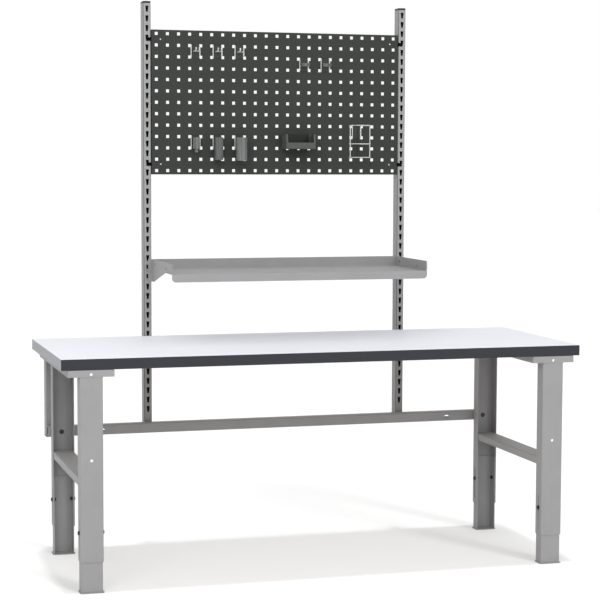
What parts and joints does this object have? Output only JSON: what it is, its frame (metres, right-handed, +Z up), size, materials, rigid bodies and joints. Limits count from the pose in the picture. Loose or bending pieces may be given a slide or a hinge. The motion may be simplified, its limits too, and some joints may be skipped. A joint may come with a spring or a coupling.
{
  "type": "workbench",
  "caption": "Height-adjustable workbench with a laminate top, telescoping channel legs, a rear crossbar, and a shelf and perforated tool panel hung on slotted posts",
  "frame": {"origin": "on the floor, under the middle of the whole bench's bounding box, with every foot plate at Z 0", "axes": "+X to the right along the worktop, +Y to the back where the posts stand, +Z up"},
  "size_m": [2, 0.8166, 2.1773],
  "materials": {
    "particle_board": "raw pressed chips",
    "white_laminate": "satin laminate",
    "dark_band": "fine satin",
    "grey_band": "fine satin",
    "grey_powder_coat": "satin powder coat on folded steel",
    "dark_powder_coat": "matt powder coat on sheet steel",
    "black_steel": "satin black coat on folded steel",
    "zinc_plated_steel": "bright zinc plate",
    "black_plastic": "moulded satin",
    "holder_steel": "satin grey coat",
    "galvanised_wire": "zinc plated wire"
  },
  "bodies": {
    "bench": {"worktop_board": "particle_board", "worktop_laminate": "white_laminate", "edge_band_front": "dark_band", "edge_band_rear": "dark_band", "edge_band_left": "grey_band", "edge_band_right": "grey_band", "top_member_left": "grey_powder_coat", "top_member_right": "grey_powder_coat", "side_rail_left": "grey_powder_coat", "side_rail_right": "grey_powder_coat", "outer_leg_front_left": "grey_powder_coat", "outer_leg_front_right": "grey_powder_coat", "outer_leg_rear_left": "grey_powder_coat", "outer_leg_rear_right": "grey_powder_coat", "rear_crossbar": "grey_powder_coat", "crossbar_bolt_left": "zinc_plated_steel", "crossbar_bolt_right": "zinc_plated_steel", "post_left": "grey_powder_coat", "post_right": "grey_powder_coat", "post_cap_left": "black_plastic", "post_cap_right": "black_plastic", "end_stub_left": "grey_powder_coat", "end_stub_right": "grey_powder_coat", "stub_plug_left": "black_plastic", "stub_plug_right": "black_plastic", "post_bolt_left": "zinc_plated_steel", "post_bolt_right": "zinc_plated_steel", "stub_bolt_left": "zinc_plated_steel", "stub_bolt_right": "zinc_plated_steel", "post_bracket_left": "grey_powder_coat", "post_bracket_right": "grey_powder_coat", "stub_bracket_left": "grey_powder_coat", "stub_bracket_right": "grey_powder_coat", "perforated_panel": "dark_powder_coat", "panel_hook_upper_left": "black_steel", "panel_hook_lower_left": "black_steel", "panel_hook_upper_right": "black_steel", "panel_hook_lower_right": "black_steel", "shelf_bracket_left": "grey_powder_coat", "shelf_bracket_right": "grey_powder_coat", "shelf_tray": "grey_powder_coat", "wrench_hook_1": "holder_steel", "wrench_hook_2": "holder_steel", "wrench_hook_3": "holder_steel", "driver_clip_1": "holder_steel", "driver_clip_2": "holder_steel", "tool_funnel": "holder_steel", "tool_tube_small": "holder_steel", "tool_tube_large": "holder_steel", "parts_tray": "dark_powder_coat", "can_holder": "galvanised_wire"},
    "leg_front_left": {"inner_leg_front_left": "grey_powder_coat", "clamp_bolt_front_left": "zinc_plated_steel"},
    "leg_front_right": {"inner_leg_front_right": "grey_powder_coat", "clamp_bolt_front_right": "zinc_plated_steel"},
    "leg_rear_left": {"inner_leg_rear_left": "grey_powder_coat", "clamp_bolt_rear_left": "zinc_plated_steel"},
    "leg_rear_right": {"inner_leg_rear_right": "grey_powder_coat", "clamp_bolt_rear_right": "zinc_plated_steel"}
  },
  "joints": [
    {"name": "leg_front_left_slide", "type": "slide", "parent": "bench", "child": "leg_front_left", "axis": [0, 0, -1], "range_m": [-0.04, 0.08]},
    {"name": "leg_front_right_slide", "type": "slide", "parent": "bench", "child": "leg_front_right", "axis": [0, 0, -1], "range_m": [-0.04, 0.08]},
    {"name": "leg_rear_left_slide", "type": "slide", "parent": "bench", "child": "leg_rear_left", "axis": [0, 0, -1], "range_m": [-0.04, 0.08]},
    {"name": "leg_rear_right_slide", "type": "slide", "parent": "bench", "child": "leg_rear_right", "axis": [0, 0, -1], "range_m": [-0.04, 0.08]}
  ]
}
